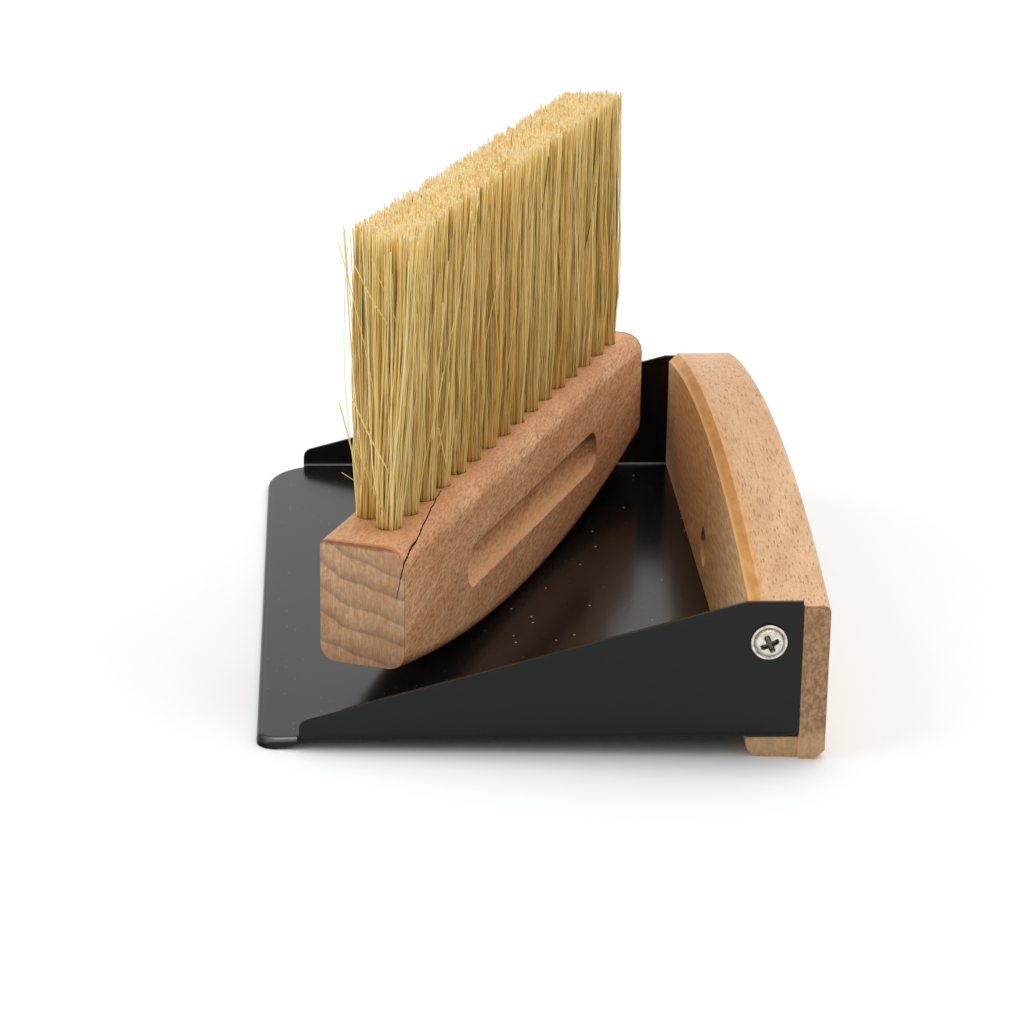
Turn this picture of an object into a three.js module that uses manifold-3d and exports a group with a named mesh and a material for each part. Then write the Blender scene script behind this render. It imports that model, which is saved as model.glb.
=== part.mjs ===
// Dust pan and hand brush set, in millimetres, +Z up.
// The pan is a folded steel tray whose rear edge is let into a beech handle block; one washer-head
// screw holds each side wall to the block's end. The brush is an arched beech block drilled with two
// staggered rows of holes, each filled with a tuft of plant fibre. Here it stands in the tray on its
// arched back, bristles up. Inside the tray group, x = 0 is the handle's front face, z = 0 is the top
// of the floor, and -x points to the lip; the whole tray leans forward a little, until its lip and
// the handle's foot both touch the ground.

import * as THREE from 'three';
import { mergeVertices } from 'three/addons/utils/BufferGeometryUtils.js';
import Module from 'manifold-3d';

const wasm = await Module();
wasm.setup();

// ---------------------------------------------------------------- driving dimensions

const SEAT_GAP = 0.3; // between pieces that touch

// Pan: one sheet, folded up at the sides and turned down round the lip
const PAN_WIDTH = 230; // outside the side walls
const TRAY_LENGTH = 132.5; // handle face to lip
const SHEET = 1.0;
const BEND_RADIUS = 1.0; // inside radius of the folds of the side walls
const WALL_HEIGHT = 38.6; // side wall at -Y, at the handle, above the floor
const WALL_LOSS = 0.9; // the wall at +Y is that much lower there
const WALL_FLAT = 1.2; // level stretch of a wall's top edge in front of the handle
const WALL_FRONT_HEIGHT = 5;
const WALL_FRONT_RADIUS = 3;
const WALL_SETBACK = 11.5; // lip to the front end of the walls
const SHEET_ENTRY = 13.9; // length of sheet held by the handle
const LIP_CORNER = 5; // plan radius of the lip's corner at -Y
const WORN_LIP_CORNER = 18; // and of the one at +Y
const RIM_RADIUS = 2.0; // outside radius of the turned-down rim
const RIM_DROP = 3; // rim's lower edge at the lip, below the top of the floor
const RIM_END_DROP = 1.4; // and beside the walls
const RELIEF_WIDTH = 0.5; // slot between rim and wall
const TILT = THREE.MathUtils.degToRad(1.6); // forward lean of the tray

// Handle block
const HANDLE_THICKNESS = 21.4;
const HANDLE_END_HEIGHT = 37; // block's end at -Y above the floor
const HANDLE_END_RISE = 1.5; // its end at +Y is that much higher
const HANDLE_ARCH = 12.3; // rise of the top from the ends to the middle
const HANDLE_FRONT_CHAMFER = 2.8; // top edge over the tray
const HANDLE_REAR_RADIUS = 1.6;
const FOOT_RADIUS = 3.6; // lower front edge, under the floor
const FOOT_CHAMFER = 2.6; // lower rear edge

// Washer-head screws through the side walls
const SCREW_X = 4.9;
const SCREW_Z = 27.2;
const SCREW_LENGTH = 19;
const SCREW_DIAMETER = 4.2;
const SCREW_FLANGE_DIAMETER = 10;
const SCREW_FLANGE_THICKNESS = 0.9;
const SCREW_DOME_DIAMETER = 7.6;
const SCREW_DOME_HEIGHT = 1.6;
const SCREW_POINT = 4;
const CROSS_SPAN = 5.2; // cross recess across opposite arms
const CROSS_WIDTH = 1.1;
const CROSS_DEPTH = 1.7;
const CROSS_TURN = THREE.MathUtils.degToRad(24);

// Disc magnets that hold the brush against the handle when it lies in the tray
const MAGNET_DIAMETER = 12;
const MAGNET_THICKNESS = 3;
const MAGNET_CHAMFER = 0.3;
const HANDLE_MAGNET_INSET = 2; // front of the magnet behind the wood
const BRUSH_MAGNET_INSET = 0.3;

// Brush block
const BRUSH_LENGTH = 220;
const BRUSH_THICKNESS = 24.5;
const BRUSH_HEIGHT = 48;
const BRUSH_ARCH = 13; // rise of the back from the middle to the ends
const BRUSH_EDGE_RADIUS = 4.5; // edges along the arched back
const BRUSH_FRONT_RADIUS = 6; // edge of the drilled face on the handle's side
const BRUSH_REAR_RADIUS = 1.5; // and on the lip's side
const GROOVE_LENGTH = 121;
const GROOVE_HEIGHT = 13; // of the opening in the side
const GROOVE_DEPTH = 4.5;
const GROOVE_OFFSET = 1.6; // its middle from the block's
const BRUSH_X = -62.6; // centre of the brush in the tray
const BRUSH_Y = 6.4;
const BRUSH_TURN = THREE.MathUtils.degToRad(68);

// Tufts: the drilled field lies a little off the block's centre line and askew
const TUFTS_FRONT_ROW = 16; // the other row is staggered and has one fewer
const TUFT_END_MARGIN = 15.1; // row's end to the block's, as for a row in the middle
const ROW_SPACING = 8.2;
const FIELD_X = 1.4;
const FIELD_Y = 1.7;
const FIELD_TURN = THREE.MathUtils.degToRad(-0.6);
const HOLE_DIAMETER = 7.4;
const HOLE_DEPTH = 13;
const BRISTLE_LENGTH = 82.6; // above the block
const TIP_DRAW_IN = 3.4; // a row is that much shorter at its tips, which stand straight along the block
const TIP_ROW_SPACING = 9;
const TIP_FIELD_X = -0.3;
const TIP_FIELD_Y = 0.9;
const TUFT_GAP = 0.4; // between spread tufts at their tips
const TUFT_SPREADS = [0, 0.45, 0.8, 1]; // at even heights from the block to the tips
const TUFT_SQUARENESS = 0.45; // power that squares a round tuft at its tips

// Facets
const ARC_STEPS = 4; // edges and bends
const CORNER_STEPS = 8; // lip corners in plan
const COVE_STEPS = 6; // end of a groove, per quarter turn
const ROUND_STEPS = 16; // round holes, screws and tufts
const ARCH_STEPS = 20; // along an arched block

const OVERCUT = 1; // how far cutting shapes pass the faces that they cut

const materials = {
  steel: { color: 0x1d1d1e, roughness: 0.42, metalness: 0.3 },
  handleWood: { color: 0xd3a878, roughness: 0.6, metalness: 0 },
  brushWood: { color: 0xc08f6a, roughness: 0.6, metalness: 0 },
  fibre: { color: 0xcdb26c, roughness: 0.8, metalness: 0 },
  nickel: { color: 0xc9c4ba, roughness: 0.3, metalness: 1 },
};

// ---------------------------------------------------------------- geometry helpers

const X = new THREE.Vector3(1, 0, 0);
const Y = new THREE.Vector3(0, 1, 0);
const Z = new THREE.Vector3(0, 0, 1);

function toSolid(geometry) {
  const bare = geometry.index ? geometry.toNonIndexed() : geometry.clone();
  bare.deleteAttribute('normal');
  bare.deleteAttribute('uv');
  const merged = mergeVertices(bare, 1e-4);
  return new wasm.Manifold(new wasm.Mesh({
    numProp: 3,
    vertProperties: Float32Array.from(merged.attributes.position.array),
    triVerts: Uint32Array.from(merged.index.array),
  }));
}

function toGeometry(solid) {
  const { vertProperties, triVerts } = solid.getMesh();
  const geometry = new THREE.BufferGeometry();
  geometry.setAttribute('position', new THREE.BufferAttribute(vertProperties, 3));
  geometry.setIndex(new THREE.BufferAttribute(triVerts, 1));
  return geometry;
}

function addMesh(group, name, geometry, look) {
  const mesh = new THREE.Mesh(geometry, new THREE.MeshStandardMaterial(materials[look]));
  mesh.name = name;
  group.add(mesh);
  return mesh;
}

// A closed solid through rings of equally many points, each ring counter-clockwise
// as seen from the side that the next ring lies on; the end rings are convex.
function loft(rings) {
  const count = rings[0].length;
  const points = rings.flat();
  const index = [];
  for (let r = 0; r + 1 < rings.length; r++) {
    for (let i = 0; i < count; i++) {
      const a = r * count + i;
      const b = r * count + (i + 1) % count;
      index.push(a, b, b + count, a, b + count, a + count);
    }
  }
  for (const [ring, start] of [[rings[0], 0], [rings.at(-1), (rings.length - 1) * count]]) {
    const centre = ring.reduce((sum, p) => sum.add(p), new THREE.Vector3()).divideScalar(count);
    points.push(centre);
    for (let i = 0; i < count; i++) {
      const pair = [start + i, start + (i + 1) % count];
      index.push(points.length - 1, ...(start === 0 ? pair.reverse() : pair));
    }
  }
  const geometry = new THREE.BufferGeometry().setFromPoints(points);
  geometry.setIndex(index);
  return geometry;
}

// A counter-clockwise convex outline through corners [x, y, radius], each rounded by its radius.
function roundedOutline(corners, steps = ARC_STEPS) {
  return corners.flatMap(([x, y, radius], i) => {
    const corner = new THREE.Vector2(x, y);
    if (!radius) return [corner];
    const before = new THREE.Vector2(...corners.at(i - 1)).sub(corner).normalize();
    const after = new THREE.Vector2(...corners[(i + 1) % corners.length]).sub(corner).normalize();
    const halfAngle = Math.acos(before.dot(after)) / 2;
    const centre = before.clone().add(after).setLength(radius / Math.sin(halfAngle)).add(corner);
    const start = Math.atan2(before.x, -before.y);
    const sweep = Math.PI - 2 * halfAngle;
    return stations(start, start + sweep, steps).map((angle) => (
      new THREE.Vector2(Math.cos(angle), Math.sin(angle)).multiplyScalar(radius).add(centre)
    ));
  });
}

// An outline drawn in the plane of two axes, extruded along the third, from one end to the other.
function prism(points, across, up, from, to) {
  const along = across.clone().cross(up);
  const geometry = new THREE.ExtrudeGeometry(new THREE.Shape(points), {
    depth: to - from,
    bevelEnabled: false,
  });
  geometry.translate(0, 0, from);
  geometry.applyMatrix4(new THREE.Matrix4().makeBasis(across, up, along));
  return toSolid(geometry);
}

function rectangle(x0, y0, x1, y1) {
  return [[x0, y0], [x1, y0], [x1, y1], [x0, y1]].map((p) => new THREE.Vector2(...p));
}

// A cylinder along an axis, with its middle at a point.
function rod(diameter, length, axis, x, y, z) {
  const geometry = new THREE.CylinderGeometry(diameter / 2, diameter / 2, length, ROUND_STEPS);
  if (axis === Z) geometry.rotateX(Math.PI / 2);
  if (axis === X) geometry.rotateZ(Math.PI / 2);
  geometry.translate(x, y, z);
  return toSolid(geometry);
}

// Height at offset s of a circular arch over a span, zero at its ends and full in the middle.
function archHeight(span, rise, s) {
  const radius = ((span / 2) ** 2 + rise ** 2) / (2 * rise);
  return Math.sqrt(radius ** 2 - s ** 2) - radius + rise;
}

function stations(from, to, count) {
  return Array.from({ length: count + 1 }, (_, i) => from + (to - from) * i / count);
}

// ---------------------------------------------------------------- sizes that follow

const wallFront = -TRAY_LENGTH + WALL_SETBACK;
const halfWidth = PAN_WIDTH / 2;

// Ground line under the leaning tray: it passes under the rim at the lip.
const groundAt = (x) => -RIM_DROP - (x + TRAY_LENGTH) * Math.tan(TILT);

// Top of the handle block
const handleTopAt = (y) => (
  HANDLE_END_HEIGHT + HANDLE_END_RISE * (0.5 + y / PAN_WIDTH) + archHeight(PAN_WIDTH, HANDLE_ARCH, y)
);

// Spacing of the tufts in a row, at their holes and at their tips
const tuftPitch = (BRUSH_LENGTH - 2 * TUFT_END_MARGIN) / (TUFTS_FRONT_ROW - 1);
const tipPitch = tuftPitch - TIP_DRAW_IN / (TUFTS_FRONT_ROW - 1);

// ---------------------------------------------------------------- pan sheet

// U-shaped section of the folded sheet in Y and Z, grown all over by a clearance.
function channelSection(clearance) {
  const outer = halfWidth + clearance;
  const inner = halfWidth - SHEET - clearance;
  const floorBottom = -SHEET - clearance;
  const innerRadius = BEND_RADIUS - clearance;
  const outerRadius = BEND_RADIUS + SHEET + clearance;
  const centreZ = floorBottom + outerRadius;
  const bend = (radius, centreY, from, to) => stations(from, to, ARC_STEPS).map((angle) => (
    new THREE.Vector2(centreY + radius * Math.cos(angle), centreZ + radius * Math.sin(angle))
  ));
  const right = halfWidth - SHEET - BEND_RADIUS;
  const top = WALL_HEIGHT + OVERCUT;
  return [
    ...bend(outerRadius, -right, Math.PI, Math.PI * 1.5),
    ...bend(outerRadius, right, -Math.PI / 2, 0),
    new THREE.Vector2(outer, top),
    new THREE.Vector2(inner, top),
    ...bend(innerRadius, right, 0, -Math.PI / 2),
    ...bend(innerRadius, -right, Math.PI * 1.5, Math.PI),
    new THREE.Vector2(-inner, top),
    new THREE.Vector2(-outer, top),
  ];
}

// Rounded front of the floor: outline rings that roll over from the floor's top to the rim.
function rolledLip(radius, drop, inset, topZ) {
  const rear = WORN_LIP_CORNER + OVERCUT - TRAY_LENGTH;
  const ring = (edge, z) => {
    const front = -TRAY_LENGTH + edge;
    const y = halfWidth - edge;
    const outline = roundedOutline([
      [rear, y, 0],
      [front, y, WORN_LIP_CORNER - edge],
      [front, -y, LIP_CORNER - edge],
      [rear, -y, 0],
    ], CORNER_STEPS);
    return outline.map((p) => new THREE.Vector3(p.x, p.y, z));
  };
  const roll = stations(Math.PI / 2, 0, ARC_STEPS).map((angle) => (
    ring(inset + radius * (1 - Math.sin(angle)), topZ - radius * (1 - Math.cos(angle)))
  ));
  return toSolid(loft([ring(inset, topZ - drop), ...roll]));
}

function makePanSheet() {
  const section = prism(channelSection(0), Y, Z, wallFront, SHEET_ENTRY);
  // Side view of the tray, swept towards -Y: each wall has a height of its own.
  const side = (height, from, to) => prism(roundedOutline([
    [wallFront, -SHEET - OVERCUT, 0],
    [SHEET_ENTRY, -SHEET - OVERCUT, 0],
    [SHEET_ENTRY, height, 0],
    [-WALL_FLAT, height, 0],
    [wallFront, WALL_FRONT_HEIGHT, WALL_FRONT_RADIUS],
  ]), X, Z, from, to);
  const wide = halfWidth + OVERCUT;
  const sides = side(WALL_HEIGHT, 0, wide).add(side(WALL_HEIGHT - WALL_LOSS, -wide, OVERCUT));
  const channel = section.intersect(sides);
  const lipRear = wallFront + OVERCUT;
  const rimLow = -RIM_DROP - OVERCUT;
  // What is cut off the rim's lower edge, so that it rises from the lip's corners to the walls
  const fade = [
    [-TRAY_LENGTH + LIP_CORNER, rimLow], [lipRear + OVERCUT, rimLow],
    [lipRear + OVERCUT, -RIM_END_DROP], [wallFront, -RIM_END_DROP],
    [-TRAY_LENGTH + LIP_CORNER, -RIM_DROP],
  ].map((p) => new THREE.Vector2(...p));
  const lip = rolledLip(RIM_RADIUS, RIM_DROP, 0, 0)
    .subtract(rolledLip(RIM_RADIUS - SHEET, RIM_DROP, SHEET, -SHEET))
    .subtract(prism(fade, X, Z, -wide, wide))
    .trimByPlane([-1, 0, 0], -lipRear);
  const flat = halfWidth - SHEET - BEND_RADIUS;
  const relief = (y0, y1) => {
    const slot = rectangle(wallFront - RELIEF_WIDTH, y0, lipRear + OVERCUT, y1);
    return prism(slot, X, Y, rimLow, OVERCUT);
  };
  const apron = lip.subtract(relief(flat, wide)).subtract(relief(-wide, -flat));
  const holes = rod(SCREW_DIAMETER + 2 * SEAT_GAP, 2 * wide, Y, SCREW_X, 0, SCREW_Z);
  return toGeometry(channel.add(apron).subtract(holes));
}

// ---------------------------------------------------------------- handle block

function makeHandleBlock() {
  const rear = HANDLE_THICKNESS;
  const rings = stations(halfWidth, -halfWidth, ARCH_STEPS).map((y) => {
    const top = handleTopAt(y);
    return roundedOutline([
      [0, groundAt(0), FOOT_RADIUS],
      [rear - FOOT_CHAMFER, groundAt(rear - FOOT_CHAMFER), 0],
      [rear, groundAt(rear) + FOOT_CHAMFER, 0],
      [rear, top, HANDLE_REAR_RADIUS],
      [HANDLE_FRONT_CHAMFER, top, 0],
      [0, top - HANDLE_FRONT_CHAMFER, 0],
    ]).map((p) => new THREE.Vector3(p.x, y, p.y));
  });
  const seatDepth = SHEET_ENTRY + SEAT_GAP;
  const sheetSeat = prism(channelSection(SEAT_GAP), Y, Z, -OVERCUT, seatDepth);
  const endSeat = halfWidth - SHEET - SEAT_GAP;
  const wide = halfWidth + OVERCUT;
  const low = groundAt(rear) - OVERCUT;
  const high = HANDLE_END_HEIGHT + HANDLE_END_RISE + OVERCUT;
  const endCut = (y0, y1) => prism(rectangle(-OVERCUT, y0, seatDepth, y1), X, Y, low, high);
  let block = toSolid(loft(rings))
    .subtract(sheetSeat)
    .subtract(endCut(endSeat, wide))
    .subtract(endCut(-wide, -endSeat));
  for (const side of [-1, 1]) {
    const depth = SCREW_LENGTH + 2 * SEAT_GAP;
    const y = side * (halfWidth + SEAT_GAP - depth / 2);
    block = block.subtract(rod(SCREW_DIAMETER + 2 * SEAT_GAP, depth, Y, SCREW_X, y, SCREW_Z));
  }
  const pocket = HANDLE_MAGNET_INSET + MAGNET_THICKNESS + SEAT_GAP;
  const pocketDiameter = MAGNET_DIAMETER + 2 * SEAT_GAP;
  return toGeometry(block.subtract(rod(pocketDiameter, 2 * pocket, X, 0, 0, BRUSH_THICKNESS / 2)));
}

// ---------------------------------------------------------------- screws and magnets

// A washer-head screw along +Y, its head outward, its flange's underside at y = 0.
function makeScrew() {
  const shank = SCREW_DIAMETER / 2;
  const dome = stations(0, Math.PI / 2, ARC_STEPS).map((angle) => new THREE.Vector2(
    SCREW_DOME_DIAMETER / 2 * Math.cos(angle),
    SCREW_FLANGE_THICKNESS + SCREW_DOME_HEIGHT * Math.sin(angle),
  ));
  dome.at(-1).x = 0;
  const profile = [
    new THREE.Vector2(0, -SCREW_LENGTH),
    new THREE.Vector2(shank, -SCREW_LENGTH + SCREW_POINT),
    new THREE.Vector2(shank, 0),
    new THREE.Vector2(SCREW_FLANGE_DIAMETER / 2, 0),
    new THREE.Vector2(SCREW_FLANGE_DIAMETER / 2, SCREW_FLANGE_THICKNESS),
    ...dome,
  ];
  const body = toSolid(new THREE.LatheGeometry(profile, ROUND_STEPS));
  const top = SCREW_FLANGE_THICKNESS + SCREW_DOME_HEIGHT;
  const slot = rectangle(-CROSS_SPAN / 2, -CROSS_WIDTH / 2, CROSS_SPAN / 2, CROSS_WIDTH / 2);
  const turned = (angle) => slot.map((p) => p.clone().rotateAround(new THREE.Vector2(), angle));
  const arm = (angle) => prism(turned(angle), Z, X, top - CROSS_DEPTH, top + OVERCUT);
  return toGeometry(body.subtract(arm(CROSS_TURN)).subtract(arm(CROSS_TURN + Math.PI / 2)));
}

// A disc magnet along +Y, its back face at y = 0.
function makeMagnet() {
  const radius = MAGNET_DIAMETER / 2;
  const profile = [
    [0, 0], [radius - MAGNET_CHAMFER, 0], [radius, MAGNET_CHAMFER],
    [radius, MAGNET_THICKNESS - MAGNET_CHAMFER], [radius - MAGNET_CHAMFER, MAGNET_THICKNESS],
    [0, MAGNET_THICKNESS],
  ].map((p) => new THREE.Vector2(...p));
  return toGeometry(toSolid(new THREE.LatheGeometry(profile, ROUND_STEPS)));
}

// ---------------------------------------------------------------- brush

// The tufts: a full row, and a staggered row with one fewer. Each has its hole's place on the
// block, how far its tips are shifted from that hole, and how far they spread about their middle.
function tuftLayout() {
  const spread = (tipPitch - TUFT_GAP) / 2;
  const depth = (TIP_ROW_SPACING - TUFT_GAP) / 2;
  const row = (name, count, side) => Array.from({ length: count }, (_, i) => {
    const fromMiddle = i - (count - 1) / 2;
    const hole = new THREE.Vector2(fromMiddle * tuftPitch, side * ROW_SPACING / 2)
      .rotateAround(new THREE.Vector2(), FIELD_TURN)
      .add(new THREE.Vector2(FIELD_X, FIELD_Y));
    return {
      name: `${name}_${String(i + 1).padStart(2, '0')}`,
      x: hole.x,
      y: hole.y,
      tipLow: i === 0 ? HOLE_DIAMETER / 2 : spread,
      tipHigh: i === count - 1 ? HOLE_DIAMETER / 2 : spread,
      tipDepth: depth,
      tipShiftX: fromMiddle * tipPitch + TIP_FIELD_X - hole.x,
      tipShiftY: side * TIP_ROW_SPACING / 2 + TIP_FIELD_Y - hole.y,
    };
  });
  return [
    ...row('tuft_front', TUFTS_FRONT_ROW, -1),
    ...row('tuft_back', TUFTS_FRONT_ROW - 1, 1),
  ];
}

function makeBrushBlock() {
  const half = BRUSH_THICKNESS / 2;
  const rings = stations(-BRUSH_LENGTH / 2, BRUSH_LENGTH / 2, ARCH_STEPS).map((x) => {
    const bottom = BRUSH_ARCH - archHeight(BRUSH_LENGTH, BRUSH_ARCH, x);
    return roundedOutline([
      [-half, bottom, BRUSH_EDGE_RADIUS],
      [half, bottom, BRUSH_EDGE_RADIUS],
      [half, BRUSH_HEIGHT, BRUSH_REAR_RADIUS],
      [-half, BRUSH_HEIGHT, BRUSH_FRONT_RADIUS],
    ]).map((p) => new THREE.Vector3(x, p.x, p.y));
  });
  let block = toSolid(loft(rings));
  for (const tuft of tuftLayout()) {
    block = block.subtract(rod(HOLE_DIAMETER, 2 * HOLE_DEPTH, Z, tuft.x, tuft.y, BRUSH_HEIGHT));
  }
  const coveRadius = ((GROOVE_HEIGHT / 2) ** 2 + GROOVE_DEPTH ** 2) / (2 * GROOVE_DEPTH);
  for (const side of [-1, 1]) {
    const straight = GROOVE_LENGTH - GROOVE_HEIGHT;
    const cove = new THREE.CapsuleGeometry(coveRadius, straight, COVE_STEPS, 4 * COVE_STEPS);
    cove.rotateZ(Math.PI / 2);
    cove.translate(GROOVE_OFFSET, side * (half + coveRadius - GROOVE_DEPTH), BRUSH_HEIGHT / 2);
    block = block.subtract(toSolid(cove));
  }
  const pocket = BRUSH_MAGNET_INSET + MAGNET_THICKNESS + SEAT_GAP;
  return toGeometry(block.subtract(rod(MAGNET_DIAMETER + 2 * SEAT_GAP, 2 * pocket, Z, 0, 0, 0)));
}

// A tuft that is round in its hole and spreads above it to a rounded rectangle at its tips.
function makeTuft(tuft) {
  const root = HOLE_DIAMETER / 2 - SEAT_GAP;
  const ring = (z, spread) => stations(0, 2 * Math.PI, ROUND_STEPS).slice(0, -1).map((angle) => {
    const power = THREE.MathUtils.lerp(1, TUFT_SQUARENESS, spread);
    const shaped = (value) => Math.sign(value) * Math.abs(value) ** power;
    const tip = Math.cos(angle) < 0 ? tuft.tipLow : tuft.tipHigh;
    const x = shaped(Math.cos(angle)) * THREE.MathUtils.lerp(root, tip, spread);
    const y = shaped(Math.sin(angle)) * THREE.MathUtils.lerp(root, tuft.tipDepth, spread);
    return new THREE.Vector3(x + tuft.tipShiftX * spread, y + tuft.tipShiftY * spread, z);
  });
  const rise = BRISTLE_LENGTH / (TUFT_SPREADS.length - 1);
  return loft([
    ring(BRUSH_HEIGHT - HOLE_DEPTH + SEAT_GAP, 0),
    ...TUFT_SPREADS.map((spread, i) => ring(BRUSH_HEIGHT + rise * i, spread)),
  ]);
}

// ---------------------------------------------------------------- assembly

const tray = new THREE.Group();
tray.rotation.y = -TILT;

addMesh(tray, 'pan_sheet', makePanSheet(), 'steel');
addMesh(tray, 'pan_handle', makeHandleBlock(), 'handleWood');

for (const [name, side] of [['screw_front', -1], ['screw_back', 1]]) {
  const screw = addMesh(tray, name, makeScrew(), 'nickel');
  screw.position.set(SCREW_X, side * (halfWidth + SEAT_GAP), SCREW_Z);
  if (side < 0) screw.rotation.z = Math.PI;
}

const handleMagnet = addMesh(tray, 'handle_magnet', makeMagnet(), 'nickel');
handleMagnet.position.set(HANDLE_MAGNET_INSET + MAGNET_THICKNESS, 0, BRUSH_THICKNESS / 2);
handleMagnet.rotation.z = Math.PI / 2;

const brush = new THREE.Group();
brush.position.set(BRUSH_X, BRUSH_Y, SEAT_GAP);
brush.rotation.z = BRUSH_TURN;
tray.add(brush);

addMesh(brush, 'brush_block', makeBrushBlock(), 'brushWood');
const brushMagnet = addMesh(brush, 'brush_magnet', makeMagnet(), 'nickel');
brushMagnet.position.z = BRUSH_MAGNET_INSET;
brushMagnet.rotation.x = Math.PI / 2;

for (const tuft of tuftLayout()) {
  addMesh(brush, tuft.name, makeTuft(tuft), 'fibre').position.set(tuft.x, tuft.y, 0);
}

// The origin is on the ground, under the middle of the set.
const dustPanSet = new THREE.Group();
dustPanSet.add(tray);
const box = new THREE.Box3().setFromObject(dustPanSet, true);
const middle = box.getCenter(new THREE.Vector3());
tray.position.set(-middle.x, -middle.y, -box.min.z);

export default dustPanSet;
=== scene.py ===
import math

import bmesh
import bpy
import numpy as np
from mathutils import Euler, Matrix, Vector


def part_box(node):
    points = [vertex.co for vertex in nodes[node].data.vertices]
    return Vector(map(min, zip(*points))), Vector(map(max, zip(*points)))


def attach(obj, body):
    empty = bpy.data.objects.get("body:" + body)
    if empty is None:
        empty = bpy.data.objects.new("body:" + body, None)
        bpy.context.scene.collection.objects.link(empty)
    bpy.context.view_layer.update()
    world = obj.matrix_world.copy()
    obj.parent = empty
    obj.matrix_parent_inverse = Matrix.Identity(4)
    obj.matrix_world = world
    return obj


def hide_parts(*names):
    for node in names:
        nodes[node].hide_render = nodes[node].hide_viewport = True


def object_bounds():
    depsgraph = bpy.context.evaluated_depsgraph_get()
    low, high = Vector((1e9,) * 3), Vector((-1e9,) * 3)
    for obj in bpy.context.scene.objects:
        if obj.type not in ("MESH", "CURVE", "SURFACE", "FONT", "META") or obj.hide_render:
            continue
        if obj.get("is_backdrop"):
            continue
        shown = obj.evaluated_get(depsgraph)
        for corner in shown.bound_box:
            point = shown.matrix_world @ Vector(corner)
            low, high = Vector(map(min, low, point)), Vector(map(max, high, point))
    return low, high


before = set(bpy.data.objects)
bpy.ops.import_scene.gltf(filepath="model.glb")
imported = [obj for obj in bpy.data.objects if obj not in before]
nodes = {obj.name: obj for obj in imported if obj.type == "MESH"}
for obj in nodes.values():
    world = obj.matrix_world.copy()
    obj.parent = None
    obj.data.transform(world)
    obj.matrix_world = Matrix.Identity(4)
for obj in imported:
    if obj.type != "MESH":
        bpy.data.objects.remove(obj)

# A dust pan and hand brush in a white studio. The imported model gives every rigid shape; this script
# gives those shapes their finish, builds each tuft of the brush as single fibres and the screws in
# finer detail, and sets the camera and the lights. Lengths are in millimetres where a name says so
# and inside the materials, and in metres elsewhere.

cad_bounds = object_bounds()
MM = 0.001

# ---------------------------------------------------------------- sizes and frames of the model

# The tray's frame starts at the middle of the corner between its floor and the handle, with X
# towards the handle and Y along it. The brush's frame starts at its foot, with X along the brush.

TRAY_TILT = math.radians(-1.6)  # the tray leans towards its lip
BRUSH_TURN = math.radians(68)  # the brush stands askew in the tray
SCREW_IN_TRAY = Vector((4.9, 0, 27.2)) * MM  # middle of the two screws
MAGNET_IN_BRUSH = Vector((0, 0, 1.8)) * MM  # middle of the brush's magnet
HANDLE_HALF_LENGTH_MM = 115
HANDLE_END_HEIGHT_MM = 37
BRUSH_HALF_LENGTH_MM = 110
BRUSH_HEIGHT_MM = 48
GROOVE_HEIGHT_MM = 13


def middle(*names):
    """The middle of the boxes of some nodes, which are alike in size."""
    corners = [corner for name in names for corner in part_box(name)]
    return sum(corners, Vector()) / len(corners)


def placed(turn, anchor, local):
    """A frame turned by a matrix, in which an anchor point has the given local place."""
    return Matrix.Translation(anchor - turn @ local) @ turn.to_4x4()


tray_turn = Euler((0, TRAY_TILT, 0)).to_matrix()
brush_turn = tray_turn @ Euler((0, 0, BRUSH_TURN)).to_matrix()
TRAY = placed(tray_turn, middle("screw_front", "screw_back"), SCREW_IN_TRAY)
BRUSH = placed(brush_turn, middle("brush_magnet"), MAGNET_IN_BRUSH)


# ---------------------------------------------------------------- material graphs

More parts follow.
